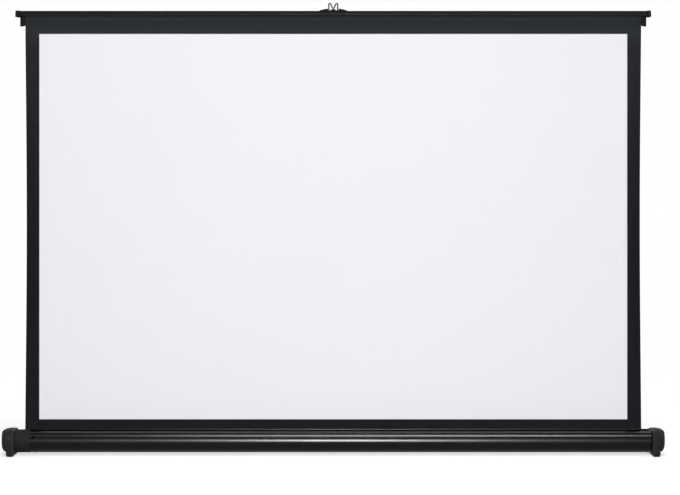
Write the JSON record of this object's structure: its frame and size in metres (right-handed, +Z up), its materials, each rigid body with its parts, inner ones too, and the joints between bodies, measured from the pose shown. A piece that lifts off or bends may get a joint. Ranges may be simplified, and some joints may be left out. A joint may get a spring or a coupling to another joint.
{
  "type": "tabletop projection screen",
  "caption": "Pull-up tabletop projection screen: a white sheet with a black border rises from a slotted round case on domed end feet and hangs by a wire bail on a telescopic mast.",
  "frame": {"origin": "on the table, under the middle of the case", "axes": "+X along the case to the right as seen from the front, +Y to the rear where the mast stands, +Z up"},
  "size_m": [0.9568, 0.064, 0.6545],
  "materials": {
    "black_anodised": "glossy black anodised extrusion",
    "black_plastic": "fine-grained black moulding",
    "projection_cloth": "matte white sheet with a black border",
    "grey_wire": "plated spring wire",
    "steel": "zinc-plated steel",
    "chromed_tube": "bright chromed steel tube",
    "natural_nylon": "natural nylon",
    "black_rubber": "matte black rubber"
  },
  "bodies": {
    "case": {"case_tube": "black_anodised", "left_end_cap": "black_plastic", "right_end_cap": "black_plastic", "left_foot_pad": "black_rubber", "right_foot_pad": "black_rubber", "left_cap_screw_bottom": "steel", "left_cap_screw_rear": "steel", "right_cap_screw_bottom": "steel", "right_cap_screw_rear": "steel", "spring_arbor": "steel", "spring_anchor": "natural_nylon", "roller_spring": "steel", "roller_bush": "natural_nylon", "mast_bracket": "black_anodised", "bracket_screw_left": "steel", "bracket_screw_right": "steel", "mast_pivot_pin": "steel", "screen_fabric": "projection_cloth"},
    "roller": {"roller_tube": "steel", "roller_spring_plug": "natural_nylon", "roller_pin_plug": "natural_nylon", "fabric_wrap": "projection_cloth"},
    "top_bar": {"top_bar": "black_anodised", "top_bar_left_cap": "black_plastic", "top_bar_right_cap": "black_plastic", "fabric_spline": "natural_nylon", "hanger_saddle": "black_plastic", "saddle_screw_left": "steel", "saddle_screw_right": "steel"},
    "bail": {"hanger_bail": "grey_wire"},
    "mast_lower": {"mast_knuckle": "black_plastic", "mast_lower_tube": "chromed_tube", "mast_lower_ferrule": "black_plastic"},
    "mast_middle": {"mast_middle_glide": "natural_nylon", "mast_middle_tube": "chromed_tube", "mast_middle_ferrule": "black_plastic"},
    "mast_top": {"mast_top_glide": "natural_nylon", "mast_top_tube": "chromed_tube", "mast_hook": "black_plastic"}
  },
  "joints": [
    {"name": "screen_lift", "type": "slide", "parent": "case", "child": "top_bar", "axis": [0, 0, 1], "range_m": [-0.598, 0], "deforming": ["screen_fabric"]},
    {"name": "roller_spin", "type": "hinge", "parent": "case", "child": "roller", "pos_m": [0, 0, 0.0176], "axis": [1, 0, 0], "range_deg": [0, 3265]},
    {"name": "bail_pivot", "type": "hinge", "parent": "top_bar", "child": "bail", "pos_m": [0, 0.0051, 0.6428], "axis": [1, 0, 0], "range_deg": [0, 70]},
    {"name": "mast_fold", "type": "hinge", "parent": "case", "child": "mast_lower", "pos_m": [0, 0.025, 0.054], "axis": [0, 1, 0], "range_deg": [-90, 0]},
    {"name": "mast_middle_slide", "type": "slide", "parent": "mast_lower", "child": "mast_middle", "axis": [0, 0, 1], "range_m": [-0.155, 0]},
    {"name": "mast_top_slide", "type": "slide", "parent": "mast_middle", "child": "mast_top", "axis": [0, 0, 1], "range_m": [-0.155, 0]}
  ],
  "couplings": [
    {"joint": "roller_spin", "follows": "screen_lift", "rad_per_m": -95.2}
  ]
}
